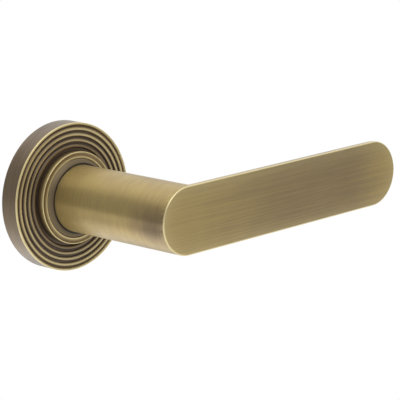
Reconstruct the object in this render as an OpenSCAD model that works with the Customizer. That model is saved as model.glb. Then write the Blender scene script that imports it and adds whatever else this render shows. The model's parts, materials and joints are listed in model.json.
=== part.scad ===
// Door lever on a round reeded rose: one side of a sprung, bolt-through set.
//
// Millimetres. The door's face is the plane Y = 0 and the lever stands out
// from it along -Y. X runs along the grip towards its tip, and +Z is up.
// The origin is where the lever's turning axis meets the door's face.
//
// Every piece is drawn on a door lying flat, where x runs along the grip, y is
// up the door and z is the distance out from it. on_door() stands it upright.
// A height, depth or level below is a z in that flat view.

/* [Lever] */
// Radius of the round neck, and of the half-round back of the grip
neck_r = 11.75; // [11:0.05:12.5]
// Distance from the door to the flat front of the grip
projection = 64.4; // [55:0.1:75]
// Distance from the turning axis to the tip of the grip
reach = 105.2; // [80:0.1:130]
// Degrees that the lever turns down from level
travel = 45; // [30:1:50]
// Step from the neck down to its journal inside the rose
journal_step = 0.95; // [0.9:0.05:1.2]

/* [Rose cover] */
// Outer radius of the rose
rose_r = 26; // [25.8:0.1:30]
// Distance from the door to the crests of the reeds
rose_depth = 7.5; // [7:0.1:9]
// Thickness of the rim's wall
rim_wall = 1.2; // [0.9:0.05:1.4]
// Thickness of the cover under the grooves
cover_skin = 1; // [0.7:0.05:1.3]
// Radius that breaks the rim's front edge and the collar's front edge
edge_round = 0.25; // [0.1:0.05:0.4]
// Distance between the crests of two reeds
reed_pitch = 2; // [1.8:0.05:2.4]
// Radius of each reed's rounded crest
reed_r = 0.8; // [0.6:0.05:0.85]
// Depth of the grooves below the crests
groove_depth = 0.7; // [0.5:0.05:0.8]
// Width of the rim's own land, from its edge to the first groove
rim_land = 1; // [0.8:0.05:1.2]
// Width of that land's slope down into the groove
land_slope = 0.4; // [0.2:0.05:0.5]
// Distance from the land to the crest of the first reed
first_crest = 1.1; // [1:0.05:1.3]
// Height of the collar above the crests of the reeds
collar_rise = 2.5; // [2:0.1:4]
// Thickness of the collar's standing wall
collar_wall = 1.12; // [0.8:0.02:1.5]
// Width of the collar's front, from its edge to its bore
collar_land = 2.25; // [1.9:0.05:2.6]
// Thickness of the collar's front
collar_lip = 1; // [0.8:0.05:1.2]
// Radius of the bead around the collar's bore
bead_r = 0.3; // [0.2:0.05:0.4]
// Depth of the cove between the collar's edge and its bead
cove_depth = 0.25; // [0.1:0.05:0.4]

/* [Neck ring and bush] */
// Height of the neck ring's inner edge above the collar
ring_rise = 1.1; // [0.5:0.1:2]
// Height of the neck ring's outer edge below the collar
ring_drop = 0.3; // [0.1:0.05:0.5]
// Thickness of the flange that holds the neck ring behind the collar
ring_flange = 0.7; // [0.5:0.05:0.9]
// Thickness of the nylon bush that the neck turns in
bush_wall = 0.6; // [0.4:0.05:0.8]

/* [Backplate] */
// Thickness of the backplate
plate_t = 1.6; // [1.2:0.1:2]
// Width of the nylon ring between the backplate's edge and the cover
grip_ring_w = 1.8; // [1.4:0.1:2]
// Depth of that ring from the door
grip_ring_h = 3.6; // [3:0.1:4.4]
// How far the ring's lip reaches in over the backplate
grip_lip_w = 0.6; // [0.4:0.1:0.7]
// Thickness of that lip
grip_lip_t = 0.8; // [0.5:0.1:1]

/* [Fixings] */
// Distance between the two threaded posts, and between the two screw holes
fixing_spacing = 38; // [37.5:0.1:38.5]
// Radius of the tapped hole in each post
post_bore_r = 1.65; // [1.5:0.05:1.8]
// Radius of each post's stem, which passes through the backplate
post_stem_r = 2.8; // [2.4:0.1:3]
// Radius of each post's head in front of the backplate
post_head_r = 3.2; // [3.1:0.05:3.3]
// Height of that head
post_head_h = 2.8; // [2:0.1:3.2]
// How far each stem stands out behind the backplate, into the door
post_nib_l = 3; // [2:0.5:8]
// Metal left between the post's tapped hole and its front
post_cap = 0.8; // [0.6:0.1:1.2]
// Radius of the screw holes through the backplate
screw_hole_r = 2; // [1.6:0.1:2.3]
// Radius of their countersinks
countersink_r = 3.2; // [2.8:0.1:3.3]

/* [Return spring] */
// Diameter of the spring wire
wire_d = 1.4; // [1.1:0.05:1.5]
// Number of turns between the spring's two legs
spring_turns = 1.5; // [1.25:0.25:1.5]
// Space between one turn and the next
turn_gap = 0.05; // [0.03:0.01:0.08]
// Space between the journal and the coil, which winds down as the lever turns
wind_gap = 1.4; // [1.2:0.05:1.5]
// Space between the coil and its housing
coil_gap = 0.4; // [0.3:0.05:0.5]
// Thickness of the spring housing's wall
housing_wall = 0.9; // [0.7:0.05:1]
// Thickness of the spring housing's front
housing_front = 0.6; // [0.5:0.05:0.7]
// Thickness of the spring housing's feet
foot_t = 0.8; // [0.6:0.1:1]
// Half the width of each foot
foot_r = 2.4; // [2.3:0.1:2.7]
// Space between the housing's wall and the head of the screw in each foot
foot_gap = 0.6; // [0.3:0.1:1.2]
// Radius of the screws that hold the feet
foot_screw_r = 1.25; // [1:0.05:1.3]
// Radius of their heads
foot_head_r = 2.1; // [1.9:0.05:2.2]
// Height of their heads
foot_head_h = 1.2; // [0.9:0.1:1.5]

/* [Spring carrier and stops] */
// Thickness of the carrier that the lever turns
carrier_t = 1.3; // [1.1:0.05:1.4]
// Step from the lever's journal in to the carrier's disc
carrier_step = 0.4; // [0.2:0.05:0.8]
// Radius of the stop pins
stop_pin_r = 1.2; // [1:0.05:1.25]
// Space between the stop pins and the spring housing
stop_gap = 0.5; // [0.4:0.05:0.7]
// Half the angle that each of the carrier's two lugs spans
lug_half_angle = 13; // [10:1:16]

/* [Spindle and tail] */
// Width across the flats of the square spindle
spindle_w = 7.95; // [7.6:0.05:8.1]
// How far the spindle stands out behind the rose
spindle_back = 19; // [15:1:60]
// How far the spindle reaches into the neck, from the door
spindle_front = 22; // [20:1:30]
// Chamfer on the spindle's ends
spindle_chamfer = 0.8; // [0.4:0.1:1.2]
// Radius of the steel sleeve pressed into the neck
sleeve_r = 8; // [7.6:0.05:8.5]
// Metal between the end of the spindle's socket and the end of the sleeve
sleeve_cap = 3; // [2:0.5:5]
// Radius of the sleeve's tail, which turns in the backplate
tail_r = 7; // [6.8:0.05:7.3]
// Half the distance across the two flats on the tail
tail_flat = 6; // [5.6:0.05:6.2]
// Length of tail behind its retaining ring
tail_end = 1; // [0.6:0.1:1.5]
// Wall of the nylon bush around the tail
tail_bush_wall = 1.5; // [1.2:0.1:1.8]
// Width of that bush's flange beyond its barrel
tail_bush_rim = 1.2; // [0.8:0.1:1.4]
// Thickness of that flange, which lies in a recess in the backplate's back
tail_bush_flange = 0.8; // [0.6:0.1:1]
// How far the flange lies below the backplate's back
tail_bush_sink = 0.2; // [0.1:0.05:0.4]
// Thickness of the washer between the backplate and the spring carrier
carrier_washer_t = 0.25; // [0.2:0.05:0.3]

/* [Retaining ring and washers] */
// Thickness of the disc spring's steel
disc_t = 0.35; // [0.3:0.05:0.5]
// Height that the disc spring's cone adds
disc_cone = 0.25; // [0.1:0.05:0.4]
// Width of the disc spring and of the thrust washer
washer_w = 2.4; // [2:0.1:2.6]
// Thickness of the thrust washer
thrust_t = 0.45; // [0.3:0.05:0.6]
// Thickness of the retaining ring
clip_t = 1; // [0.8:0.1:1.2]
// Width of the retaining ring beyond its groove
clip_w = 2.2; // [1.8:0.1:2.4]
// Depth of its groove in the tail
groove_clip = 0.35; // [0.25:0.05:0.45]
// Half the angle of the ring's gap
clip_gap_angle = 20; // [16:1:26]
// Radius of the eyes at its gap
clip_eye_r = 1.2; // [1:0.05:1.3]
// Radius of the plier holes in the eyes
clip_hole_r = 0.5; // [0.4:0.05:0.6]

/* [Grub screw] */
// Radius of the grub screw
grub_r = 3; // [2.5:0.1:3.5]
// Distance from the door to the grub screw
grub_level = 16; // [15:0.5:19]
// How far the grub screw lies below the neck's surface
grub_sink = 0.8; // [0.4:0.1:1.5]
// Width across the flats of its hexagon socket
grub_hex_w = 3; // [2.5:0.5:3.5]
// Depth of that socket
grub_hex_h = 2.6; // [2:0.1:3]

/* [Clearances] */
// Radial clearance where a shaft turns in its bush
running_gap = 0.05; // [0.03:0.01:0.08]
// Clearance around a piece that is pressed in, set in or screwed in
seat_gap = 0.02; // [0.01:0.01:0.04]
// Clearance between flat faces that slide on each other
face_gap = 0.05; // [0.03:0.01:0.08]
// Clearance around a piece that only passes through a hole
pass_gap = 0.15; // [0.1:0.01:0.2]
// Space between each side of the spindle and its socket
spindle_gap = 0.075; // [0.05:0.005:0.1]

/* [Hidden] */
$fn = 96;

// How far a cutter runs past the face it cuts
past = 1;

// Levels from the door outwards
washer_z = plate_t;
carrier_z = washer_z + carrier_washer_t + 2 * face_gap;
neck_z = carrier_z + carrier_t;
groove_z = rose_depth - groove_depth;
ceiling_z = groove_z - cover_skin;
collar_z = rose_depth + collar_rise;
lip_z = collar_z - collar_lip;
ring_z = lip_z - ring_flange;
housing_z = ring_z - face_gap;
ring_top = collar_z + ring_rise;

// Levels from the door inwards, so these are negative
disc_z = tail_bush_sink - face_gap - disc_cone - disc_t;
thrust_z = disc_z - face_gap - thrust_t;
clip_z = thrust_z - seat_gap - clip_t;
tail_z = clip_z - tail_end;

// Radii from the neck outwards: journal, coil, housing, then collar
journal_r = neck_r - journal_step;
wire_r = wire_d / 2;
coil_r = journal_r + wind_gap + wire_r;
housing_in = coil_r + wire_r + coil_gap;
housing_out = housing_in + housing_wall;
carrier_r = journal_r - carrier_step;
stop_ring_r = housing_in - stop_gap - stop_pin_r;
collar_in = housing_out + pass_gap;
collar_r = collar_in + collar_wall;
collar_bore = collar_r - collar_land;
ring_r = collar_bore - seat_gap;
bush_in = neck_r + running_gap;
bush_r = bush_in + bush_wall;

// Radii from the rim inwards: cover, grip ring, then backplate
rim_in = rose_r - rim_wall;
grip_r = rim_in - running_gap;
grip_in = grip_r - grip_ring_w;
plate_r = grip_in - seat_gap;

// Crests of the reeds, from the rim's land in to the collar
first_reed = rose_r - rim_land - first_crest;
reeds = [for (r = first_reed; r > collar_r + reed_pitch / 2; r = r - reed_pitch) r];

// Tail, its bush and what is threaded over it
tail_bush_in = tail_r + running_gap;
tail_bush_r = tail_bush_in + tail_bush_wall;
tail_bush_flange_r = tail_bush_r + tail_bush_rim;
washer_in = tail_r + pass_gap;
clip_in = tail_r - groove_clip + seat_gap;
socket_w = spindle_w + 2 * spindle_gap;
sleeve_z = spindle_front + sleeve_cap;

// The carrier's stop lug stands above the axis, halfway through its travel,
// and the lug that winds the spring stands opposite
stop_lug_angle = 90 + travel / 2;
spring_lug_angle = stop_lug_angle + 180;
lug_r = housing_in - coil_gap;
stop_angle = lug_half_angle + asin((stop_pin_r + face_gap) / stop_ring_r);

// The spring's moving leg lies against its lug and the fixed leg is a number
// of turns further on
moving_leg = spring_lug_angle - lug_half_angle - asin((wire_r + face_gap) / coil_r);
fixed_leg = moving_leg + 360 * spring_turns;
coil_z = neck_z + pass_gap + wire_r;
coil_pitch = wire_d + turn_gap;
coil_top = coil_z + spring_turns * coil_pitch;

// The four feet stand on the diagonals, clear of the posts and screw holes
foot_angles = [45 : 90 : 315];
foot_ring_r = housing_out + foot_gap + foot_head_r;

module on_door() {
    rotate([90, 0, 0]) children();
}

// A tube standing on level z
module tube(inner, outer, z, h) {
    translate([0, 0, z]) difference() {
        cylinder(r = outer, h = h);
        translate([0, 0, -past]) cylinder(r = inner, h = h + 2 * past);
    }
}

// A flat wedge that opens from the centre, half_angle to each side of angle
module wedge(angle, half_angle, r) {
    far = r / cos(half_angle);
    rotate(angle) polygon([
        [0, 0],
        [far * cos(half_angle), -far * sin(half_angle)],
        [far * cos(half_angle), far * sin(half_angle)],
    ]);
}

// A shape drawn in x and z, as thick as the neck and evenly about y = 0
module side_view() {
    rotate([90, 0, 0])
        linear_extrude(height = 2 * (neck_r + past), center = true)
            children();
}

// Two copies, on opposite sides of the turning axis
module pair(along) {
    for (side = [-1, 1])
        translate(side * along * fixing_spacing / 2) children();
}

// The tail's cross-section: a round with two flats
module tail_section(gap) {
    intersection() {
        circle(r = tail_r + gap);
        square([2 * (tail_flat + gap), 4 * tail_r], center = true);
    }
}

// The hole for the grub screw, from below the neck up to the spindle
module grub_hole() {
    translate([0, 0, grub_level]) rotate([90, 0, 0])
        cylinder(r = grub_r + seat_gap, h = neck_r + past);
}

// ---- Pieces that turn with the lever ----

// The round neck runs out to the flat front and the grip leaves it on a mitre
module neck() {
    corner = neck_r + past;
    intersection() {
        union() {
            translate([0, 0, neck_z]) cylinder(r = journal_r, h = projection);
            translate([0, 0, housing_z]) cylinder(r = neck_r, h = projection);
        }
        side_view() polygon([
            [-corner, neck_z], [corner, neck_z],
            [corner, projection - corner], [0, projection], [-corner, projection],
        ]);
    }
}

// The grip is half of a round bar with a ball end, cut along its axis
module grip() {
    corner = neck_r + past;
    straight = reach - neck_r;
    intersection() {
        translate([0, 0, projection]) rotate([0, 90, 0]) rotate_extrude() {
            translate([0, -past]) square([neck_r, straight + past]);
            translate([0, straight]) intersection() {
                circle(r = neck_r);
                square(neck_r);
            }
        }
        side_view() polygon([
            [0, projection], [corner, projection - corner],
            [reach + past, projection - corner], [reach + past, projection],
        ]);
    }
}

module lever() color("#8b7748") on_door() {
    difference() {
        union() {
            neck();
            grip();
        }
        translate([0, 0, neck_z - past])
            cylinder(r = sleeve_r + seat_gap, h = sleeve_z + seat_gap - neck_z + past);
        grub_hole();
    }
}

module spindle_sleeve() color("#8f9194") on_door() {
    difference() {
        union() {
            translate([0, 0, neck_z]) cylinder(r = sleeve_r, h = sleeve_z - neck_z);
            translate([0, 0, tail_z]) linear_extrude(height = neck_z - tail_z)
                tail_section(0);
        }
        translate([0, 0, tail_z - past])
            linear_extrude(height = spindle_front + spindle_gap - tail_z + past)
                square(socket_w, center = true);
        tube(tail_r - groove_clip, tail_r + past, clip_z - seat_gap,
             clip_t + 2 * seat_gap);
        grub_hole();
    }
}

module grub_screw() color("#3a3b3d") on_door() {
    length = neck_r - grub_sink - spindle_w / 2 - seat_gap;
    translate([0, -spindle_w / 2 - seat_gap, grub_level]) rotate([90, 0, 0])
        difference() {
            cylinder(r = grub_r, h = length);
            translate([0, 0, length - grub_hex_h])
                cylinder(r = grub_hex_w / 2 / cos(30), h = grub_hex_h + past, $fn = 6);
        }
}

// The spindle from one side, with its chamfered ends
module spindle_side() {
    half = spindle_w / 2;
    end = half - spindle_chamfer;
    polygon([
        [-end, -spindle_back], [end, -spindle_back],
        [half, spindle_chamfer - spindle_back], [half, spindle_front - spindle_chamfer],
        [end, spindle_front], [-end, spindle_front],
        [-half, spindle_front - spindle_chamfer], [-half, spindle_chamfer - spindle_back],
    ]);
}

// Two side views, a quarter turn apart, leave a square bar
module spindle() color("#a7a9ac") on_door() {
    intersection_for (turn = [0, 90])
        rotate([90, 0, turn])
            linear_extrude(height = spindle_w, center = true)
                spindle_side();
}

module spring_carrier() color("#b7b1a2") on_door() {
    translate([0, 0, carrier_z]) linear_extrude(height = carrier_t) difference() {
        union() {
            circle(r = carrier_r);
            for (angle = [stop_lug_angle, spring_lug_angle])
                intersection() {
                    circle(r = lug_r);
                    wedge(angle, lug_half_angle, lug_r + past);
                }
        }
        tail_section(seat_gap);
    }
}

module disc_spring() color("#6d6f72") on_door() {
    outer = washer_in + washer_w;
    rotate_extrude() polygon([
        [washer_in, disc_z], [outer, disc_z + disc_cone],
        [outer, disc_z + disc_cone + disc_t], [washer_in, disc_z + disc_t],
    ]);
}

module thrust_washer() color("#9a9c9f") on_door() {
    tube(washer_in, washer_in + washer_w, thrust_z, thrust_t);
}

module retaining_ring() color("#303133") on_door() {
    outer = clip_in + clip_w;
    eye_ring_r = outer - clip_eye_r / 2;
    translate([0, 0, clip_z]) linear_extrude(height = clip_t) difference() {
        union() {
            difference() {
                circle(r = outer);
                wedge(-90, clip_gap_angle, outer + past);
            }
            for (side = [-1, 1])
                rotate(-90 + side * clip_gap_angle) translate([eye_ring_r, 0])
                    circle(r = clip_eye_r);
        }
        circle(r = clip_in);
        for (side = [-1, 1])
            rotate(-90 + side * clip_gap_angle) translate([eye_ring_r, 0])
                circle(r = clip_hole_r);
    }
}

// ---- Pieces that stay with the door ----

// Half of the cover's section: rim, grooved front, standing collar and bore
module cover_section() {
    land = rose_r - rim_land;
    round_in = rose_r - edge_round;
    bead_c = collar_bore + bead_r;
    cove_out = collar_r - edge_round;
    polygon([
        [rim_in, 0], [rose_r, 0], [rose_r, rose_depth - edge_round],
        [round_in, rose_depth - edge_round], [round_in, rose_depth],
        [land + land_slope, rose_depth], [land, groove_z],
        [collar_r, groove_z], [collar_r, collar_z - edge_round],
        [cove_out, collar_z - edge_round], [cove_out, collar_z],
        [cove_out - cove_depth, collar_z - cove_depth],
        [bead_c, collar_z - cove_depth], [bead_c, collar_z - bead_r],
        [collar_bore, collar_z - bead_r], [collar_bore, lip_z],
        [collar_in, lip_z], [collar_in, ceiling_z], [rim_in, ceiling_z],
    ]);
    translate([round_in, rose_depth - edge_round]) circle(r = edge_round);
    translate([cove_out, collar_z - edge_round]) circle(r = edge_round);
    translate([bead_c, collar_z - bead_r]) circle(r = bead_r);
    for (r = reeds) intersection() {
        translate([r, rose_depth - reed_r]) circle(r = reed_r);
        translate([r - reed_r, groove_z - cover_skin / 2])
            square([2 * reed_r, groove_depth + cover_skin]);
    }
}

module rose_cover() color("#7d6a45") on_door() {
    rotate_extrude() cover_section();
}

module neck_ring() color("#5a5142") on_door() {
    inner = bush_r + seat_gap;
    rotate_extrude() polygon([
        [inner, ring_z], [collar_in - pass_gap, ring_z], [collar_in - pass_gap, lip_z],
        [ring_r, lip_z], [ring_r, collar_z - ring_drop], [inner, ring_top],
    ]);
}

module neck_bush() color("#222222") on_door() {
    tube(bush_in, bush_r, ring_z, ring_top - ring_z);
}

// The plate's holes take the tail bush, posts, door screws, feet and stop pins
module backplate() color("#9c9d98") on_door() {
    difference() {
        cylinder(r = plate_r, h = plate_t);
        translate([0, 0, -past]) {
            cylinder(r = tail_bush_r + seat_gap, h = plate_t + 2 * past);
            cylinder(r = tail_bush_flange_r + seat_gap,
                     h = past + tail_bush_sink + tail_bush_flange);
            pair([1, 0, 0]) cylinder(r = post_stem_r + seat_gap, h = plate_t + 2 * past);
            pair([0, 1, 0]) cylinder(r = screw_hole_r, h = plate_t + 2 * past);
            at_feet() cylinder(r = foot_screw_r + seat_gap, h = plate_t + 2 * past);
            at_stops() cylinder(r = stop_pin_r + seat_gap, h = plate_t + 2 * past);
        }
        pair([0, 1, 0]) translate([0, 0, plate_t - (countersink_r - screw_hole_r)])
            cylinder(r1 = screw_hole_r, r2 = countersink_r, h = countersink_r - screw_hole_r);
    }
}

module grip_ring() color("#d8d6cc") on_door() {
    lip_in = grip_in - grip_lip_w;
    lip_under = plate_t + seat_gap;
    rotate_extrude() polygon([
        [grip_in, 0], [grip_r, 0], [grip_r, grip_ring_h], [grip_in, grip_ring_h],
        [grip_in, lip_under + grip_lip_t], [lip_in, lip_under + grip_lip_t],
        [lip_in, lip_under], [grip_in, lip_under],
    ]);
}

module tail_bush() color("#d8d6cc") on_door() {
    flange_top = tail_bush_sink + tail_bush_flange;
    rotate_extrude() polygon([
        [tail_bush_in, tail_bush_sink], [tail_bush_flange_r, tail_bush_sink],
        [tail_bush_flange_r, flange_top], [tail_bush_r, flange_top],
        [tail_bush_r, plate_t], [tail_bush_in, plate_t],
    ]);
}

module carrier_washer() color("#e8e6df") on_door() {
    tube(washer_in, carrier_r, washer_z + face_gap, carrier_washer_t);
}

module at_feet() {
    for (angle = foot_angles) rotate(angle) translate([foot_ring_r, 0]) children();
}

// A drawn cup over the spring, with a slot that holds the spring's fixed leg
module spring_housing() color("#a9a9a3") on_door() {
    hole_r = bush_in + pass_gap;
    front_z = housing_z - housing_front;
    wall_mid = housing_in + housing_wall / 2;
    slot_z = coil_top - wire_r - pass_gap;
    difference() {
        union() {
            rotate_extrude() polygon([
                [housing_in, plate_t], [housing_out, plate_t], [housing_out, housing_z],
                [hole_r, housing_z], [hole_r, front_z], [housing_in, front_z],
            ]);
            translate([0, 0, plate_t]) linear_extrude(height = foot_t)
                for (angle = foot_angles) rotate(angle) difference() {
                    union() {
                        translate([0, -foot_r]) square([foot_ring_r, 2 * foot_r]);
                        translate([foot_ring_r, 0]) circle(r = foot_r);
                    }
                    circle(r = wall_mid);
                }
        }
        at_feet() cylinder(r = foot_screw_r + pass_gap, h = plate_t + foot_t + past);
        rotate(fixed_leg) translate([coil_r, -wire_r - pass_gap, slot_z])
            cube([housing_out, wire_d + 2 * pass_gap, front_z - slot_z]);
    }
}

module housing_screws() color("#8f9194") on_door() {
    at_feet() {
        translate([0, 0, seat_gap])
            cylinder(r = foot_screw_r, h = plate_t + foot_t);
        difference() {
            translate([0, 0, plate_t + foot_t]) cylinder(r = foot_head_r, h = foot_head_h);
            translate([-foot_head_r, -foot_screw_r / 4, plate_t + foot_t + foot_head_h / 2])
                cube([2 * foot_head_r, foot_screw_r / 2, foot_head_h]);
        }
    }
}

// Angles of the pins that the stop lug meets when level and at full travel
module at_stops() {
    for (angle = [stop_lug_angle + stop_angle, stop_lug_angle - travel - stop_angle])
        rotate(angle) translate([stop_ring_r, 0]) children();
}

module stop_pins() color("#8f9194") on_door() {
    at_stops() translate([0, 0, seat_gap])
        cylinder(r = stop_pin_r, h = neck_z - seat_gap);
}

module fixing_posts() color("#c2c0b8") on_door() {
    pair([1, 0, 0]) difference() {
        union() {
            translate([0, 0, -post_nib_l])
                cylinder(r = post_stem_r, h = post_nib_l + plate_t);
            translate([0, 0, plate_t]) cylinder(r = post_head_r, h = post_head_h);
        }
        translate([0, 0, -post_nib_l - past])
            cylinder(r = post_bore_r,
                     h = past + post_nib_l + plate_t + post_head_h - post_cap);
    }
}

// Where the wire runs: along the moving leg, round the coil, out to the housing.
// Each entry is a point and the direction of one corner of the wire's section.
function around(angle) = [cos(angle), sin(angle), 0];
leg_foot = [coil_r * around(moving_leg) + [0, 0, carrier_z + face_gap], around(moving_leg)];
leg_knee = [coil_r * around(moving_leg) + [0, 0, coil_z], around(moving_leg)];
coil_step = 15;
coil = [
    for (turned = [coil_step : coil_step : 360 * spring_turns - coil_step])
        [
            coil_r * around(moving_leg + turned) + [0, 0, coil_z + coil_pitch * turned / 360],
            around(moving_leg + turned),
        ]
];
arm_bend = [coil_r * around(fixed_leg) + [0, 0, coil_top], around(fixed_leg - 45)];
arm_end = [housing_out * around(fixed_leg) + [0, 0, coil_top], around(fixed_leg - 90)];
wire_path = concat([leg_foot, leg_knee], coil, [arm_bend, arm_end]);

// One ring of the wire's section at each entry of the path
wire_sides = 8;
function unit(v) = v / norm(v);
function heading(i) =
    unit(wire_path[min(i + 1, len(wire_path) - 1)][0] - wire_path[max(i - 1, 0)][0]);
function ring_at(i) =
    let (ahead = heading(i),
         across = unit(cross(cross(ahead, wire_path[i][1]), ahead)),
         beside = cross(ahead, across))
    [
        for (side = [0 : wire_sides - 1])
            let (turn = 360 * side / wire_sides)
            wire_path[i][0] + wire_r * (cos(turn) * across + sin(turn) * beside)
    ];

module return_spring() color("#5d6064") on_door() {
    rings = len(wire_path);
    points = [for (i = [0 : rings - 1]) each ring_at(i)];
    sides = [
        for (i = [0 : rings - 2], side = [0 : wire_sides - 1])
            let (next = (side + 1) % wire_sides)
            [
                i * wire_sides + side, (i + 1) * wire_sides + side,
                (i + 1) * wire_sides + next, i * wire_sides + next,
            ]
    ];
    first_cap = [for (side = [0 : wire_sides - 1]) side];
    last_cap = [for (side = [wire_sides - 1 : -1 : 0]) (rings - 1) * wire_sides + side];
    polyhedron(points = points, faces = concat([first_cap], sides, [last_cap]));
}

lever();
spindle_sleeve();
grub_screw();
spindle();
spring_carrier();
disc_spring();
thrust_washer();
retaining_ring();
rose_cover();
neck_ring();
neck_bush();
backplate();
grip_ring();
tail_bush();
carrier_washer();
spring_housing();
housing_screws();
return_spring();
stop_pins();
fixing_posts();
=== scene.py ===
# %% [markdown]
# # A door lever on a round reeded rose
#
# The lever turns in a rose that is fixed to the door. Every piece inside comes
# from the CAD model, which this script loads as a fixed frame. Two pieces get a
# finer skin here, because the light shows how they were polished: the lever
# itself, and the cover of the rose with its turned rings.
#
# Lengths are in metres. X runs along the grip, +Z is up, and the lever stands
# out from the door along -Y. The turning axis is the Y axis.

# %% The frame
import json
from math import asin, cos, pi, radians, sin, sqrt

import bmesh
import bpy
from mathutils import Matrix, Vector


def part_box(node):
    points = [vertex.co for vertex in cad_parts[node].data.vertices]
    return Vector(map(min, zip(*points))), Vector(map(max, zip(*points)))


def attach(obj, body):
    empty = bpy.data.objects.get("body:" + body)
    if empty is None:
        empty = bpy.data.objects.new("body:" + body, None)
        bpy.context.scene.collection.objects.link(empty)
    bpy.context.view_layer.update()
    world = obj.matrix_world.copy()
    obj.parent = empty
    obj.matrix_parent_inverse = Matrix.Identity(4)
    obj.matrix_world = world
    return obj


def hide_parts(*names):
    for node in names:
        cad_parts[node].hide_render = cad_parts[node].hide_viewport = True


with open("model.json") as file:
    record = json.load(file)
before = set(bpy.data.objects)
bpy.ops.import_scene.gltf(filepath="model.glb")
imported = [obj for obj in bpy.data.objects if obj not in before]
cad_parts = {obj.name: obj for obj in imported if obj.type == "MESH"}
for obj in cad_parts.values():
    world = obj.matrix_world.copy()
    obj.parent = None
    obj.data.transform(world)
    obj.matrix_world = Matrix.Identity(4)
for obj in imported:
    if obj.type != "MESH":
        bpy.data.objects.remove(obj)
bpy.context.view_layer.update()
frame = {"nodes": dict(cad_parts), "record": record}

MM = 0.001
nodes = frame["nodes"]


def stand(name, data):
    """A new object that shows data."""
    thing = bpy.data.objects.new(name, data)
    bpy.context.scene.collection.objects.link(thing)
    return thing


# %% [markdown]
# ## Camera
#
# The camera stands to the left of the lever and a little above it. A long lens
# from about three quarters of a metre away keeps the grip's edges nearly
# parallel, as a catalogue picture does. The camera's own axes are worked out from
# its yaw, pitch and roll, which is easier to check than a constraint that tracks
# a point. It aims to one side of the rose, so that the whole lever is in the middle.

# %% The camera
def aim_camera():
    yaw, pitch, roll = radians(45.002), radians(12.9), radians(-1.347)
    distance, aim_aside, aim_up = 0.7672, 0.04416, -0.00112
    rose_front = Vector((0, -7.3 * MM, 0))
    back = Vector((-sin(yaw) * cos(pitch), -cos(yaw) * cos(pitch), sin(pitch)))
    right = Matrix.Rotation(roll, 3, back) @ Vector((cos(yaw), -sin(yaw), 0))
    up = back.cross(right)
    target = rose_front + aim_aside * right + aim_up * up
    lens = bpy.data.cameras.new("catalogue_lens")
    lens.lens, lens.sensor_width = 198.8, 36
    lens.clip_start, lens.clip_end = 0.05, 50
    camera = stand("catalogue_camera", lens)
    turn = Matrix((right, up, back)).transposed().to_4x4()
    camera.matrix_world = Matrix.Translation(target + distance * back) @ turn
    bpy.context.scene.camera = camera
    bpy.context.scene.view_settings.view_transform = "Standard"
    return camera


camera = aim_camera()
print("camera at", tuple(round(v, 4) for v in camera.matrix_world.translation))

# %% [markdown]
# ## Nodes in few words
#
# Shaders and Geometry Nodes are both trees of nodes. One helper adds a node,
# sets its options and fills its inputs: an input takes a plain value, or
# another node's output, which makes a link. A second one does arithmetic, and a
# third makes a material whose tree is still empty.

# %% Three helpers for node trees
def add(tree, kind, inputs=None, **options):
    node = tree.nodes.new(kind)
    for name, value in options.items():
        setattr(node, name, value)
    for name, value in (inputs or {}).items():
        if isinstance(value, bpy.types.NodeSocket):
            tree.links.new(value, node.inputs[name])
        else:
            node.inputs[name].default_value = value
    return node


def calc(tree, operation, *values):
    inputs = dict(enumerate(values))
    return add(tree, "ShaderNodeMath", inputs, operation=operation).outputs[0]


def empty_material(name):
    material = bpy.data.materials.new(name)
    material.use_nodes = True
    material.node_tree.nodes.clear()
    return material, material.node_tree


# %% [markdown]
# ## Backdrop and light
#
# Metal has no colour of its own to show in the dark: it shows what stands
# around it. So the studio is built for its reflections. The background is
# white, and metal sees it white too, while its light on the object stays
# moderate. Grey curtains, which only reflections can see, draw the soft bands
# that run along a polished bar. The floor lies a metre below, as a door
# handle's does.

# %% White background
def seen_directly(tree):
    """1 for what the lens, a reflection or a pane of glass sees, 0 for light that falls."""
    path = add(tree, "ShaderNodeLightPath").outputs
    mirrored = calc(tree, "MAXIMUM", path["Is Glossy Ray"], path["Is Transmission Ray"])
    return calc(tree, "MAXIMUM", path["Is Camera Ray"], mirrored)


def white_world(ambient):
    world = bpy.data.worlds.new("studio")
    bpy.context.scene.world = world
    world.use_nodes = True
    tree = world.node_tree
    tree.nodes.clear()
    fall = add(tree, "ShaderNodeBackground", {"Color": (1, 1, 1, 1), "Strength": ambient})
    seen = add(tree, "ShaderNodeBackground", {"Color": (1, 1, 1, 1), "Strength": 1.0})
    mix = add(tree, "ShaderNodeMixShader",
              {0: seen_directly(tree), 1: fall.outputs[0], 2: seen.outputs[0]})
    add(tree, "ShaderNodeOutputWorld", {"Surface": mix.outputs[0]})


def pale_floor():
    material, tree = empty_material("pale_floor")
    paint = add(tree, "ShaderNodeBsdfDiffuse", {"Color": (0.8, 0.8, 0.8, 1)})
    glow = add(tree, "ShaderNodeEmission", {"Color": (1, 1, 1, 1), "Strength": 1.0})
    mix = add(tree, "ShaderNodeMixShader",
              {0: seen_directly(tree), 1: paint.outputs[0], 2: glow.outputs[0]})
    add(tree, "ShaderNodeOutputMaterial", {"Surface": mix.outputs[0]})
    return board("floor", Vector((0, 0, -1)), Vector((0, 0, 0)), 40, 40, material)


def board(name, place, target, width, height, material):
    """A flat sheet at place that faces target."""
    mesh = bpy.data.meshes.new(name)
    corners = [(-width / 2, -height / 2, 0), (width / 2, -height / 2, 0),
               (width / 2, height / 2, 0), (-width / 2, height / 2, 0)]
    mesh.from_pydata(corners, [], [(0, 1, 2, 3)])
    mesh.materials.append(material)
    sheet = stand(name, mesh)
    sheet.matrix_world = facing(place, target, "Z")
    return sheet


def facing(place, target, front):
    """Stands a thing at place so that its own axis called front points at the target."""
    turn = (target - place).to_track_quat(front, "Y").to_matrix().to_4x4()
    return Matrix.Translation(place) @ turn


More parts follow.
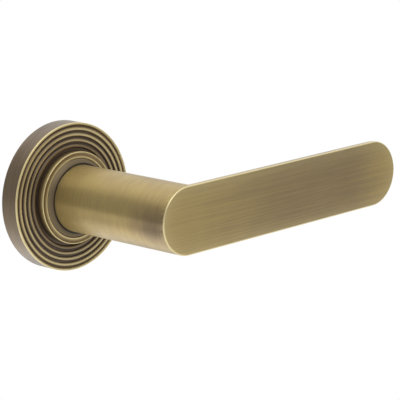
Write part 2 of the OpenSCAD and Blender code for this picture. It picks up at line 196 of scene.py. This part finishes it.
white_world(ambient=1)
pale_floor()
print("floor a metre below the lever's axis")

# %% Lamps and grey curtains
def softbox(name, place, width, height, watts):
    lamp = bpy.data.lights.new(name, "AREA")
    lamp.shape, lamp.size, lamp.size_y, lamp.energy = "RECTANGLE", width, height, watts
    box = stand(name, lamp)
    box.matrix_world = facing(place, middle, "-Z")
    return box


def curtain(name, start, end, low, high, grey):
    """A curved grey cloth round the set, from one compass angle to another."""
    material, tree = empty_material(name)
    tone = add(tree, "ShaderNodeEmission", {"Color": (grey, grey, grey, 1), "Strength": 1.0})
    add(tree, "ShaderNodeOutputMaterial", {"Surface": tone.outputs[0]})
    steps, radius = 24, 1.2
    angles = [radians(start + (end - start) * i / steps) for i in range(steps + 1)]
    points = [(radius * cos(a), radius * sin(a), z) for a in angles for z in (low, high)]
    faces = [(2 * i, 2 * i + 2, 2 * i + 3, 2 * i + 1) for i in range(steps)]
    mesh = bpy.data.meshes.new(name)
    mesh.from_pydata(points, [], faces)
    mesh.materials.append(material)
    cloth = stand(name, mesh)
    cloth.visible_camera = cloth.visible_shadow = cloth.visible_diffuse = False
    return cloth


middle = Vector((0.03, -0.04, 0))
softbox("back_light", Vector((0.35, 0.75, 0.8)), width=0.9, height=0.6, watts=0.7)
softbox("low_light", Vector((-0.1, 0.7, -0.75)), width=0.9, height=0.5, watts=1.3)
softbox("front_light", Vector((-0.2, -0.7, 0.8)), width=0.7, height=0.5, watts=1.6)
curtain("curtain_left", start=103, end=190, low=-0.18, high=1.08, grey=0.49)
curtain("curtain_front", start=197, end=295, low=-0.1, high=0.72, grey=0.33)
curtain("curtain_right", start=295, end=348, low=-0.35, high=0.56, grey=0.52)
print("three lamps and three curtains")

# %% [markdown]
# ## Brushed metal
#
# Brushing leaves fine parallel lines. A noise texture that is squeezed along
# one axis and left long along the others draws them, without any image. The
# same lines move the colour, the roughness and the height a little, so they
# stay visible at every angle. Aged brass is also darkened and then rubbed, so
# its hollows stay brown and its edges shine. The rubbed colour also paints the
# highlights on round edges and reed crests. Two attributes on the mesh, one for
# wear and painted highlight and one for recess, say where.

# %% A brushed and aged metal
def tones(tree, value, stops):
    """A colour that runs through stops, each a place from 0 to 1 and a colour."""
    ramp = add(tree, "ShaderNodeValToRGB", {"Fac": value})
    scale = ramp.color_ramp
    while len(scale.elements) < len(stops):
        scale.elements.new(0.5)
    for element, (at, colour) in zip(scale.elements, stops):
        element.position, element.color = at, (*colour, 1)
    return ramp.outputs["Color"]


def mixed(tree, share, first, second):
    """A colour between two. A Mix node keeps its colours in inputs 6 and 7."""
    return add(tree, "ShaderNodeMix", {0: share, 6: first, 7: second},
               data_type="RGBA").outputs[2]


def spread(tree, value, low, high, smallest=0.3, largest=0.7, **options):
    """Runs from low to high as value goes from smallest to largest, which are most of a
    noise's range if they aren't given."""
    return add(tree, "ShaderNodeMapRange", {
        "Value": value, "From Min": smallest, "From Max": largest,
        "To Min": low, "To Max": high}, **options).outputs[0]


CLOUDS_IN_A_METRE = 70.0
LINE_DEPTH = 0.004 * MM
ROUGHER = 0.06


def brushed_metal(name, ages, roughness, lines, contrast=0.3, clouds=0.25,
                  metallic=1.0, blur=0.0, lacquer=0.0, worn_and_highlight=None, darkening=None):
    """Metal with fine lines. ages is its colours from bright to old, and lines says how
    many there are in a metre along X, Y and Z. worn is the colour where it is rubbed and
    of painted highlights on edges and crests, if its mesh says where. patina adds age by
    place, which in the neck ring is painted shade. blur draws highlights out across the lines."""
    material, tree = empty_material(name)
    place = add(tree, "ShaderNodeTexCoord").outputs["Object"]
    stretched = add(tree, "ShaderNodeMapping", {"Vector": place, "Scale": lines})
    grain = add(tree, "ShaderNodeTexNoise", {
        "Vector": stretched.outputs[0], "Scale": 1.0, "Detail": 4.0,
        "Roughness": 0.6}).outputs[0]
    cloud = add(tree, "ShaderNodeTexNoise", {
        "Vector": place, "Scale": CLOUDS_IN_A_METRE, "Detail": 3.0,
        "Roughness": 0.5}).outputs[0]
    age = calc(tree, "ADD", spread(tree, cloud, 0.0, clouds), spread(tree, grain, contrast, 0.0))
    # Darkening by place: patina in the cover's hollows, painted shade in the neck ring, darker
    # patches on the lever.
    if darkening:
        age = calc(tree, "ADD", age, darkening(tree, place))
    surface = tones(tree, age, ages)
    # The rubbed colour is partly a painted highlight on round edges and reed crests.
    if worn_and_highlight:
        wear_and_highlight = add(tree, "ShaderNodeAttribute", attribute_name="wear_and_highlight").outputs["Fac"]
        surface = mixed(tree, wear_and_highlight, surface, (*worn_and_highlight, 1))
    bump = add(tree, "ShaderNodeBump", {
        "Height": grain, "Strength": 1.0, "Distance": LINE_DEPTH})
    shader = add(tree, "ShaderNodeBsdfPrincipled", {
        "Base Color": surface, "Metallic": metallic, "Normal": bump.outputs[0],
        "Roughness": spread(tree, grain, roughness + ROUGHER, roughness - ROUGHER),
        "Anisotropic": blur, "Coat Weight": lacquer, "Coat Roughness": 0.3, "Coat IOR": 1.5})
    if blur:
        across = add(tree, "ShaderNodeTangent", direction_type="UV_MAP", uv_map="across_lines")
        tree.links.new(across.outputs[0], shader.inputs["Tangent"])
    add(tree, "ShaderNodeOutputMaterial", {"Surface": shader.outputs[0]})
    return material


def by_the_grip(tree, place):
    """A darker patch on the neck, beside the grip's face.
    It is twice as long along the neck as round it."""
    squeeze = Vector((1, 0.5, 1))
    centre = Vector((-11.7, -62, -1)) * MM
    shortened = add(tree, "ShaderNodeVectorMath", {0: place, 1: squeeze},
                    operation="MULTIPLY")
    away = add(tree, "ShaderNodeVectorMath", {0: shortened.outputs[0], 1: squeeze * centre},
               operation="DISTANCE")
    return spread(tree, away.outputs["Value"], 0.5, 0.0, 1 * MM, 9 * MM,
                  interpolation_type="SMOOTHSTEP")


def painted_shade_by_neck(tree, place):
    """Painted shade in the neck ring, deeper towards the gap at the neck."""
    across = add(tree, "ShaderNodeVectorMath", {0: place, 1: (1, 0, 1)}, operation="MULTIPLY")
    radius = add(tree, "ShaderNodeVectorMath", {0: across.outputs[0]}, operation="LENGTH")
    return spread(tree, radius.outputs["Value"], 0.8, 0.0, 12 * MM, 14 * MM)


def mid_grip(tree, place):
    """Darker in the middle of the grip than at its ends."""
    x = add(tree, "ShaderNodeSeparateXYZ", {"Vector": place}).outputs["X"]
    rise = spread(tree, x, 0.0, 1.0, -10 * MM, 55 * MM, interpolation_type="SMOOTHSTEP")
    fall = spread(tree, x, 0.36, 0, 80 * MM, 105 * MM, interpolation_type="SMOOTHSTEP")
    return calc(tree, "MULTIPLY", rise, fall)


def in_recesses(tree, place):
    """Patina that the cover's mesh says is there."""
    return add(tree, "ShaderNodeAttribute", attribute_name="recess").outputs["Fac"]


BRASS = (0.52, 0.39, 0.14)
TARNISH = (0.315, 0.225, 0.104)
PATINA = (0.13, 0.092, 0.062)
# The rubbed colour, also used as a painted highlight on edges and crests.
WORN_AND_HIGHLIGHT = (0.82, 0.7, 0.38)
AGES = ((0.0, BRASS), (0.5, TARNISH), (1.0, PATINA))
AGED = {"metallic": 0.85, "lacquer": 0.4, "worn_and_highlight": WORN_AND_HIGHLIGHT}

neck_finish = brushed_metal("neck_brass", AGES, 0.4, (150, 3000, 150), contrast=0.22,
                            clouds=0.2, blur=0.93, darkening=by_the_grip, **AGED)
grip_finish = brushed_metal("grip_brass", AGES, 0.33, (30, 2200, 2200), contrast=0.25,
                            clouds=0.08, blur=0.47, darkening=mid_grip, **AGED)
rose_finish = brushed_metal("rose_brass_turned", AGES, 0.49, (90, 1800, 90), contrast=0.12,
                            clouds=0.12, darkening=in_recesses, **AGED)
print("three brass finishes")

# %% [markdown]
# ## The lever
#
# The real lever is one casting: a round neck, and a grip that is the same
# round bar split along its axis, so its front is flat and its back half
# round. They meet on a mitre. A subdivided cage would bulge at that mitre, and
# a bevel on the CAD mesh would catch on its loose triangles. The skin is
# instead laid out in patches of even rows, which meet edge to edge.
#
# The face is drawn as rings round a stadium, a straight slot with round ends.
# The rows then turn over the rounded edge. On the grip they run on down the
# half-round back. On the neck they run straight to the rose.

# %% Sizes of the lever, taken from its node
lever_low, lever_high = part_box("lever")
neck_r = lever_high.z
projection = -lever_low.y
root = -lever_high.y
straight = lever_high.x - neck_r
edge_r = 0.5 * MM
crown = 0.06 * MM
shoulder = -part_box("spring_housing")[0].y
journal_r = neck_r - 0.95 * MM
bore_r = 8.02 * MM
bore_end = 25.02 * MM
past_mitre = 1.5 * MM
fold = radians(14)
print("neck radius", round(neck_r / MM, 2), "mm")
print("face", round(projection / MM, 2), "mm from the door")


# %% A bench for patches
class Skin:
    """Collects patches of rows, then welds them into one mesh."""

    def __init__(self):
        self.mesh = bmesh.new()
        self.uv = self.mesh.loops.layers.uv.new("across_lines")
        # The wear attribute marks rubbed places and painted highlights.
        self.wear_and_highlight = self.mesh.verts.layers.float.new("wear_and_highlight")

    def patch(self, rows, layout, finish=0, closed=False, wear_and_highlight=None):
        """rows is a list of lists of points, and wear has a value for each row: rubbing, and
        where a painted highlight goes. layout gives each point's place on the flat."""
        made = []
        for i, row in enumerate(rows):
            ring = [self.mesh.verts.new(point) for point in row]
            for vertex in ring:
                vertex[self.wear_and_highlight] = wear_and_highlight[i] if wear_and_highlight else 0.0
            made.append(ring)
        count = len(rows[0])
        for i in range(len(rows) - 1):
            for j in range(count if closed else count - 1):
                k = (j + 1) % count
                places = [(i, j), (i, k), (i + 1, k), (i + 1, j)]
                face = self.mesh.faces.new([made[a][b] for a, b in places])
                face.material_index, face.smooth = finish, True
                flat = [(i, j), (i, j + 1), (i + 1, j + 1), (i + 1, j)]
                for loop, (a, b) in zip(face.loops, flat):
                    loop[self.uv].uv = layout(a, b)

    def finished(self, name, materials):
        bmesh.ops.remove_doubles(self.mesh, verts=self.mesh.verts, dist=0.0005 * MM)
        bmesh.ops.recalc_face_normals(self.mesh, faces=self.mesh.faces)
        data = bpy.data.meshes.new(name)
        self.mesh.to_mesh(data)
        self.mesh.free()
        data.set_sharp_from_angle(angle=fold)
        for material in materials:
            data.materials.append(material)
        return stand(name, data)


# %% Rows of the lever
def out(x, depth, z):
    """A point by its depth behind the flat face."""
    return Vector((x, depth - projection, z))


def stations(arc_steps=48, side_steps=24):
    """Round the face: where each station's centre is on the grip's axis, and its direction.
    The first list has the stations on the neck, the second those on the grip."""
    sides = [straight * i / side_steps for i in range(side_steps)]
    left = [(0.0, radians(90 + 180 * i / arc_steps)) for i in range(1, arc_steps)]
    below = [(x, radians(-90)) for x in sides]
    tip = [(straight, radians(-90 + 180 * i / arc_steps)) for i in range(arc_steps + 1)]
    above = [(x, radians(90)) for x in reversed(sides)]
    return left, below + tip + above


def on_neck(station, reach_out, depth):
    centre, angle = station
    return out(centre + reach_out * cos(angle), depth, reach_out * sin(angle))


def on_grip(station, reach_out, depth):
    """The grip's rows start on the mitre, which runs back at 45 degrees."""
    centre, angle = station
    narrowed = reach_out * sqrt(max(0.0, 1 - (depth / neck_r) ** 2))
    mitred = depth * (1 - centre / straight)
    return out(centre + mitred + narrowed * cos(angle), depth, narrowed * sin(angle))


def lever_skin(edge_steps=10, back_steps=24, neck_steps=6):
    skin = Skin()
    left, round_grip = stations()
    face = [(k * (neck_r - edge_r), crown * k ** 4) for k in (0, 0.3, 0.6, 0.8, 0.93, 1)]
    turns = [radians(90 * i / edge_steps) for i in range(edge_steps + 1)]
    edge = [(neck_r - edge_r * (1 - sin(t)), crown + (edge_r - crown) * (1 - cos(t)))
            for t in turns]

    def ring(reach_out, depth):
        return ([on_neck(s, reach_out, depth) for s in left]
                + [on_grip(s, reach_out, depth) for s in round_grip])

    front = [ring(*row) for row in face]
    # The face brightens towards its rounded edge: rubbing, and a painted highlight where a
    # broader round would catch the light.
    rubbed_and_highlight = [0.26 * (reach / neck_r) ** 4 for reach, _ in face]
    skin.patch(front, lambda i, j: flat_place(front, i, j), 1, closed=True, wear_and_highlight=rubbed_and_highlight)
    turned = [ring(*row) for row in edge]
    # The rounded edge is brightest half way round: rubbed metal and a painted edge highlight.
    worn_and_highlight = [sin(t * 2) ** 0.5 if 0 < t < pi / 2 else 0.15 for t in turns]
    skin.patch(turned, lambda i, j: flat_place(turned, i, j), 1, closed=True, wear_and_highlight=worn_and_highlight)

    first = asin(edge_r / neck_r)
    slopes = [first + (pi / 2 - first) * i / back_steps for i in range(back_steps + 1)]
    back = [[on_grip(s, neck_r, neck_r * sin(b)) for s in round_grip] for b in slopes]
    run = along(back[0])
    skin.patch(back, lambda i, j: (slopes[i] * neck_r, run[j]), 1)

    mitre = [row[0] for row in back] + [row[-1] for row in reversed(back[:-1])]
    tops = [on_neck(s, neck_r, edge_r) for s in left] + mitre
    level = neck_r + past_mitre - projection
    upper = [[Vector((p.x, p.y + (level - p.y) * k / neck_steps, p.z)) for p in tops]
             for k in range(neck_steps + 1)]
    lower = [[Vector((p.x, level - (level + shoulder) * k / neck_steps, p.z)) for p in tops]
             for k in range(1, neck_steps + 1)]
    neck = upper + lower
    girth = along(neck[-1] + neck[-1][:1])
    skin.patch(neck, lambda i, j: (neck[i][j % len(tops)].y, girth[j]), 0, closed=True)

    def circle(radius, depth_from_door):
        share = radius / neck_r
        return [Vector((p.x * share, -depth_from_door, p.z * share)) for p in tops]

    foot = [circle(neck_r, shoulder), circle(journal_r, shoulder), circle(journal_r, root),
            circle(bore_r, root), circle(bore_r, bore_end), circle(0, bore_end)]
    skin.patch(foot, lambda i, j: (i * MM, girth[j]), 0, closed=True)
    return skin


def flat_place(rows, i, j):
    point = rows[i][j % len(rows[i])]
    return point.z, point.x


def along(points):
    """Distance of each point from the first, along the row."""
    run = [0.0]
    for a, b in zip(points, points[1:]):
        run.append(run[-1] + (b - a).length)
    return run


lever = lever_skin().finished("lever_casting", [neck_finish, grip_finish])
print("lever skin:", len(lever.data.polygons), "faces")

# %% [markdown]
# The lever is held on its spindle by a grub screw from below. Its hole is cut
# with a Boolean, because a drilled hole is exactly that: a cylinder taken out
# of a finished surface.

# %% The grub screw's hole
def drill(piece, start, end, radius, sides=48):
    axis = end - start
    cutter = bmesh.new()
    bmesh.ops.create_cone(cutter, cap_ends=True, segments=sides, radius1=radius, radius2=radius,
                          depth=axis.length)
    turn = axis.to_track_quat("Z", "Y").to_matrix().to_4x4()
    cutter.transform(Matrix.Translation((start + end) / 2) @ turn)
    data = bpy.data.meshes.new("drill")
    cutter.to_mesh(data)
    cutter.free()
    tool = stand("drill", data)
    cut = piece.modifiers.new("drilled", "BOOLEAN")
    cut.operation, cut.solver, cut.object = "DIFFERENCE", "EXACT", tool
    settle(piece)
    bpy.data.objects.remove(tool)


def settle(piece):
    """Turns a piece and its modifiers into one plain mesh."""
    depsgraph = bpy.context.evaluated_depsgraph_get()
    plain = bpy.data.meshes.new_from_object(
        piece.evaluated_get(depsgraph), preserve_all_data_layers=True, depsgraph=depsgraph)
    piece.modifiers.clear()
    piece.data = plain
    plain.name = piece.name
    return piece


grub_low, grub_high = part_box("grub_screw")
grub_y = (grub_low.y + grub_high.y) / 2
grub_hole_r = (grub_high.x - grub_low.x) / 2 + 0.02 * MM
drill(lever, Vector((0, grub_y, 0)), Vector((0, grub_y, -neck_r - 1 * MM)), grub_hole_r)
lever.data.set_sharp_from_angle(angle=fold)
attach(lever, "handle")
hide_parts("lever")
print("hole drilled:", len(lever.data.polygons), "faces")

# %% [markdown]
# ## The reeded cover
#
# The cover is turned on a lathe, so its shape is a section and a rule: four
# round reeds, one every two millimetres, rise from a flat groove. A lathe
# built in Geometry Nodes keeps that rule in named inputs. It takes the section
# as a line of points, lifts the ones that lie on a reed, and copies the line
# round the axis.
#
# The alternative is the Screw modifier, but it can't lift the reeds, and it
# can't write down how deep each point lies. That depth is what the patina
# needs to know.

# %% The cover's section
rose_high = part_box("rose_cover")[1]
rose_r = rose_high.x
collar_top = -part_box("rose_cover")[0].y
crest = 7.5 * MM
groove = crest - 0.7 * MM
reed_r, reed_pitch, reed_count = 0.8 * MM, 2 * MM, 4
land = rose_r - 1 * MM
first_reed = land - 1.1 * MM
rim_in, ceiling = rose_r - 1.2 * MM, groove - 1 * MM
collar_r, collar_in, collar_bore = 16.17 * MM, 15.05 * MM, 13.92 * MM
lip = collar_top - 1 * MM
corner_r, bead_r, cove = 0.25 * MM, 0.3 * MM, 0.25 * MM
rim_age = 0.75


def arc(centre, height, radius, start, end, steps, recess, wear_and_highlight):
    """Points on a round stretch of the section, from one angle to another in degrees."""
    angles = [radians(start + (end - start) * i / steps) for i in range(steps + 1)]
    return [(centre + radius * cos(a), height + radius * sin(a), recess, wear_and_highlight) for a in angles]


def cover_section():
    """Points round the section: radius, height from the door, recess and wear, where wear also
    paints the round edges' highlight.
    """
    rim = [(rim_in, 0, rim_age, 0), (rose_r - 0.1 * MM, 0, rim_age, 0),
           (rose_r, 0.1 * MM, rim_age, 0), (rose_r, crest - 0.6 * MM, rim_age, 0)]
    # Round corners carry wear: rubbed brass, and a painted highlight on the rim's edge.
    rim += arc(rose_r - corner_r, crest - corner_r, corner_r, 0, 90, 6, 0, 1)
    rim += arc(land + 0.45 * MM, crest - 0.1 * MM, 0.1 * MM, 90, 150, 3, 0.1, 0.8)
    floor_run = [(land, groove, 1, 0)]
    for i in range(reed_count):
        reed = first_reed - i * reed_pitch
        half = sqrt(reed_r ** 2 - (reed_r - (crest - groove)) ** 2)
        floor_run += [(reed + half * cos(radians(a)), groove, 1, 0) for a in range(0, 181, 9)]
    floor_run += [(collar_r, groove, 1, 0)]
    collar = [(collar_r, collar_top - 1.5 * MM, 0.4, 0)]
    # The collar's round edge and bead carry wear: rubbed brass, and a painted highlight.
    collar += arc(collar_r - corner_r, collar_top - corner_r, corner_r, 0, 90, 6, 0, 1)
    cove_steps = 10
    start, end = collar_r - corner_r, collar_bore + 1.6 * bead_r
    for k in range(1, cove_steps):
        share = k / cove_steps
        collar.append((start + (end - start) * share, collar_top - cove * sin(pi * share) ** 0.8,
                       0.5 * sin(pi * share), 0))
    collar += arc(collar_bore + bead_r, collar_top - bead_r, bead_r, 60, 180, 8, 0, 0.8)
    inside = [(collar_bore, lip, 0.5, 0), (collar_in, lip, 0.5, 0),
              (collar_in, ceiling, 0.5, 0), (rim_in, ceiling, 0.5, 0)]
    return rim + floor_run + collar + inside


section = cover_section()
print("cover section:", len(section), "points")

# %% A lathe in Geometry Nodes
def lathe_tree():
    """Lifts the reeds of a section that lies in the XY plane, then turns it round Y."""
    tree = bpy.data.node_groups.new("reeded_lathe", "GeometryNodeTree")
    sockets = {}
    # Three of these inputs shape the crests' rubbed band, which is partly a painted highlight.
    for name, kind, value in (
            ("Section", "Geometry", None), ("Steps", "Int", 192), ("Outer Reed", "Float", 0.0239),
            ("Reed Pitch", "Float", 0.002), ("Reed Radius", "Float", 0.0008),
            ("Reed Height", "Float", 0.0007), ("Reeds", "Int", 4), ("Groove Age", "Float", 0.8),
            ("Age per Reed", "Float", 0.12), ("Rubbed Highlight Width", "Float", 0.0006),
            ("Rubbed Highlight Inwards", "Float", 0.00015), ("Rubbed Highlight Loss", "Float", 0.085),
            ("Finish", "Material", None)):
        socket = tree.interface.new_socket(name, in_out="INPUT", socket_type=f"NodeSocket{kind}")
        if value is not None:
            socket.default_value = value
        sockets[name] = socket.identifier
    tree.interface.new_socket("Cover", in_out="OUTPUT", socket_type="NodeSocketGeometry")
    given = add(tree, "NodeGroupInput").outputs

    size = add(tree, "GeometryNodeAttributeDomainSize", {"Geometry": given["Section"]})
    count = size.outputs["Point Count"]
    columns = calc(tree, "ADD", given["Steps"], 1)
    ring = calc(tree, "ADD", count, 1)
    grid = add(tree, "GeometryNodeMeshGrid", {
        "Size X": 1.0, "Size Y": 1.0, "Vertices X": columns, "Vertices Y": ring})

    index = add(tree, "GeometryNodeInputIndex").outputs[0]
    column = calc(tree, "FLOOR", calc(tree, "DIVIDE", index, ring))
    row = calc(tree, "MODULO", calc(tree, "MODULO", index, ring), count)
    angle = calc(tree, "DIVIDE", calc(tree, "MULTIPLY", column, 2 * pi), given["Steps"])
    spot = add(tree, "GeometryNodeSampleIndex", {
        "Geometry": given["Section"], "Index": row,
        "Value": add(tree, "GeometryNodeInputPosition").outputs[0]}, data_type="FLOAT_VECTOR")

    def sampled(name):
        named = add(tree, "GeometryNodeInputNamedAttribute", {"Name": name}, data_type="FLOAT")
        return add(tree, "GeometryNodeSampleIndex", {
            "Geometry": given["Section"], "Index": row, "Value": named.outputs[0]},
            data_type="FLOAT").outputs[0]

    recess, wear_and_highlight = sampled("recess"), sampled("wear_and_highlight")
    at = add(tree, "ShaderNodeSeparateXYZ", {"Vector": spot.outputs[0]}).outputs

    inwards = calc(tree, "DIVIDE", calc(tree, "SUBTRACT", given["Outer Reed"], at["X"]),
                   given["Reed Pitch"])
    last = calc(tree, "SUBTRACT", given["Reeds"], 1)
    nearest = calc(tree, "MAXIMUM", calc(tree, "MINIMUM", calc(tree, "ROUND", inwards), last), 0)
    aside = calc(tree, "MULTIPLY", calc(tree, "SUBTRACT", inwards, nearest), given["Reed Pitch"])
    square = calc(tree, "SUBTRACT", calc(tree, "POWER", given["Reed Radius"], 2),
                  calc(tree, "MULTIPLY", aside, aside))
    rise = calc(tree, "SQRT", calc(tree, "MAXIMUM", square, 0))
    buried = calc(tree, "SUBTRACT", given["Reed Radius"], given["Reed Height"])
    lift = calc(tree, "MAXIMUM", calc(tree, "SUBTRACT", rise, buried), 0)
    in_groove = calc(tree, "GREATER_THAN", recess, 0.9)
    lift = calc(tree, "MULTIPLY", lift, in_groove)

    turned = add(tree, "ShaderNodeCombineXYZ", {
        "X": calc(tree, "MULTIPLY", at["X"], calc(tree, "COSINE", angle)),
        "Y": calc(tree, "SUBTRACT", at["Y"], lift),
        "Z": calc(tree, "MULTIPLY", at["X"], calc(tree, "SINE", angle))})
    share = calc(tree, "DIVIDE", lift, given["Reed Height"])
    low = calc(tree, "MINIMUM", 1, calc(tree, "MULTIPLY", 1.7, calc(
        tree, "SQRT", calc(tree, "SUBTRACT", 1, share))))
    by_depth = calc(tree, "MULTIPLY", low, given["Groove Age"])
    by_reed = calc(tree, "MULTIPLY", nearest, given["Age per Reed"])
    grooved = calc(tree, "MULTIPLY", in_groove, calc(tree, "ADD", by_depth, by_reed))
    elsewhere = calc(tree, "MULTIPLY", recess, calc(tree, "SUBTRACT", 1, in_groove))
    darkening = calc(tree, "ADD", grooved, elsewhere)
    # The crests' rubbed band: worn brass, and a painted highlight set a little inwards of each
    # crest where the light catches it, fading on the inner reeds.
    fade = calc(tree, "SUBTRACT", 1, calc(
        tree, "MULTIPLY", calc(tree, "POWER", nearest, 2), given["Rubbed Highlight Loss"]))
    from_line = calc(tree, "DIVIDE", calc(tree, "SUBTRACT", aside, given["Rubbed Highlight Inwards"]),
                     given["Rubbed Highlight Width"])
    near_line = calc(tree, "MAXIMUM", 0, calc(
        tree, "SUBTRACT", 1, calc(tree, "MULTIPLY", from_line, from_line)))
    rubbed_and_highlight = calc(tree, "MULTIPLY", calc(tree, "POWER", near_line, 3), fade)
    rubbed_and_highlight = calc(tree, "MULTIPLY", rubbed_and_highlight, in_groove)
    dark = add(tree, "GeometryNodeStoreNamedAttribute", {
        "Geometry": grid.outputs[0], "Name": "recess", "Value": darkening},
        data_type="FLOAT", domain="POINT")
    kept = add(tree, "GeometryNodeStoreNamedAttribute", {
        "Geometry": dark.outputs[0], "Name": "wear_and_highlight", "Value": calc(tree, "ADD", wear_and_highlight, rubbed_and_highlight)},
        data_type="FLOAT", domain="POINT")
    placed = add(tree, "GeometryNodeSetPosition", {
        "Geometry": kept.outputs[0], "Position": turned.outputs[0]})
    welded = add(tree, "GeometryNodeMergeByDistance", {
        "Geometry": placed.outputs[0], "Distance": 0.0005 * MM})
    smooth = add(tree, "GeometryNodeSetShadeSmooth", {"Geometry": welded.outputs[0]})
    real = add(tree, "GeometryNodeRealizeInstances", {"Geometry": smooth.outputs[0]})
    coated = add(tree, "GeometryNodeSetMaterial", {
        "Geometry": real.outputs[0], "Material": given["Finish"]})
    add(tree, "NodeGroupOutput", {0: coated.outputs[0]})
    return tree, sockets


def with_tree(name, data, tree, sockets, values):
    """An object on which a tree has run, as a plain mesh."""
    piece = stand(name, data)
    modifier = piece.modifiers.new("rule", "NODES")
    modifier.node_group = tree
    for socket, value in values.items():
        modifier[sockets[socket]] = value
    settle(piece)
    tidy = bmesh.new()
    tidy.from_mesh(piece.data)
    bmesh.ops.recalc_face_normals(tidy, faces=tidy.faces)
    tidy.to_mesh(piece.data)
    tidy.free()
    return piece


line = bpy.data.meshes.new("cover_section")
line.from_pydata([(point[0], -point[1], 0) for point in section], [], [])
# The wear column holds rubbing and painted edge highlights.
for name, column in (("recess", 2), ("wear_and_highlight", 3)):
    values = line.attributes.new(name, "FLOAT", "POINT").data
    values.foreach_set("value", [point[column] for point in section])
# The crests' rubbed band set below is partly a painted highlight.
cover = with_tree("rose_cover_turned", line, *lathe_tree(), {
    "Steps": 192, "Outer Reed": first_reed, "Reed Pitch": reed_pitch, "Reed Radius": reed_r,
    "Reed Height": crest - groove, "Reeds": reed_count,
    "Groove Age": 0.75, "Age per Reed": 0.12, "Rubbed Highlight Width": 0.56 * MM,
    "Rubbed Highlight Inwards": 0.09 * MM, "Rubbed Highlight Loss": 0.11, "Finish": rose_finish})
cover.data.set_sharp_from_angle(angle=radians(35))
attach(cover, "rose")
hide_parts("rose_cover")
print("cover:", len(cover.data.polygons), "faces")
print("cover's box in mm:", [round(v / MM, 2) for v in cover.dimensions])

# %% [markdown]
# ## Metals and nylon of the pieces inside
#
# The CAD pieces keep their shapes and get a finish each. Turned steel has
# rings, stamped and cast pieces have a fine mottled skin, and nylon is soft and
# slightly uneven.

# %% Finishes for the CAD pieces
def moulded(name, colour, roughness):
    material, tree = empty_material(name)
    place = add(tree, "ShaderNodeTexCoord").outputs["Object"]
    cloud = add(tree, "ShaderNodeTexNoise", {"Vector": place, "Scale": 220.0, "Detail": 3.0})
    shade = tuple(0.82 * c for c in colour)
    tint = mixed(tree, cloud.outputs["Fac"], (*colour, 1), (*shade, 1))
    grain = add(tree, "ShaderNodeTexNoise", {"Vector": place, "Scale": 2400.0, "Detail": 2.0})
    bump = add(tree, "ShaderNodeBump", {
        "Height": grain.outputs["Fac"], "Strength": 0.4, "Distance": 0.01 * MM})
    shader = add(tree, "ShaderNodeBsdfPrincipled", {
        "Base Color": tint, "Roughness": roughness, "Normal": bump.outputs[0]})
    add(tree, "ShaderNodeOutputMaterial", {"Surface": shader.outputs[0]})
    return material


def plain_metal(name, colour, roughness, lines, contrast=0.25):
    shade = tuple(0.6 * c for c in colour)
    return brushed_metal(name, ((0.0, colour), (1.0, shade)), roughness, lines, contrast)


TURNED, EVEN = (150, 2400, 150), (700, 700, 700)
RING_AGES = ((0.0, (0.24, 0.18, 0.1)), (1.0, (0.085, 0.06, 0.03)))
finishes = {
    # The neck ring's own dark brass, with painted shade towards the neck.
    "dark_brass": brushed_metal("dark_brass", RING_AGES, 0.5, TURNED, contrast=0.1,
                                clouds=0.1, metallic=0.6, darkening=painted_shade_by_neck),
    "turned_steel": plain_metal("turned_steel", (0.42, 0.42, 0.43), 0.3, TURNED),
    "zinc_plate": plain_metal("zinc_plate", (0.56, 0.57, 0.55), 0.38, EVEN),
    "black_steel": plain_metal("black_steel", (0.06, 0.06, 0.065), 0.4, EVEN),
    "spring_steel": plain_metal("spring_steel", (0.34, 0.35, 0.37), 0.34, EVEN),
    "cast_zinc": plain_metal("cast_zinc", (0.55, 0.53, 0.48), 0.5, (380, 380, 380)),
    "black_nylon": moulded("black_nylon", (0.03, 0.023, 0.014), 0.6),
    "white_nylon": moulded("white_nylon", (0.68, 0.67, 0.62), 0.45),
}
for made_of in frame["record"]["subparts"]:
    material = finishes.get(made_of["material_slot"])
    if material:
        for place in nodes[made_of["node"]].material_slots:
            place.material = material
print(len(finishes), "finishes for the CAD pieces")
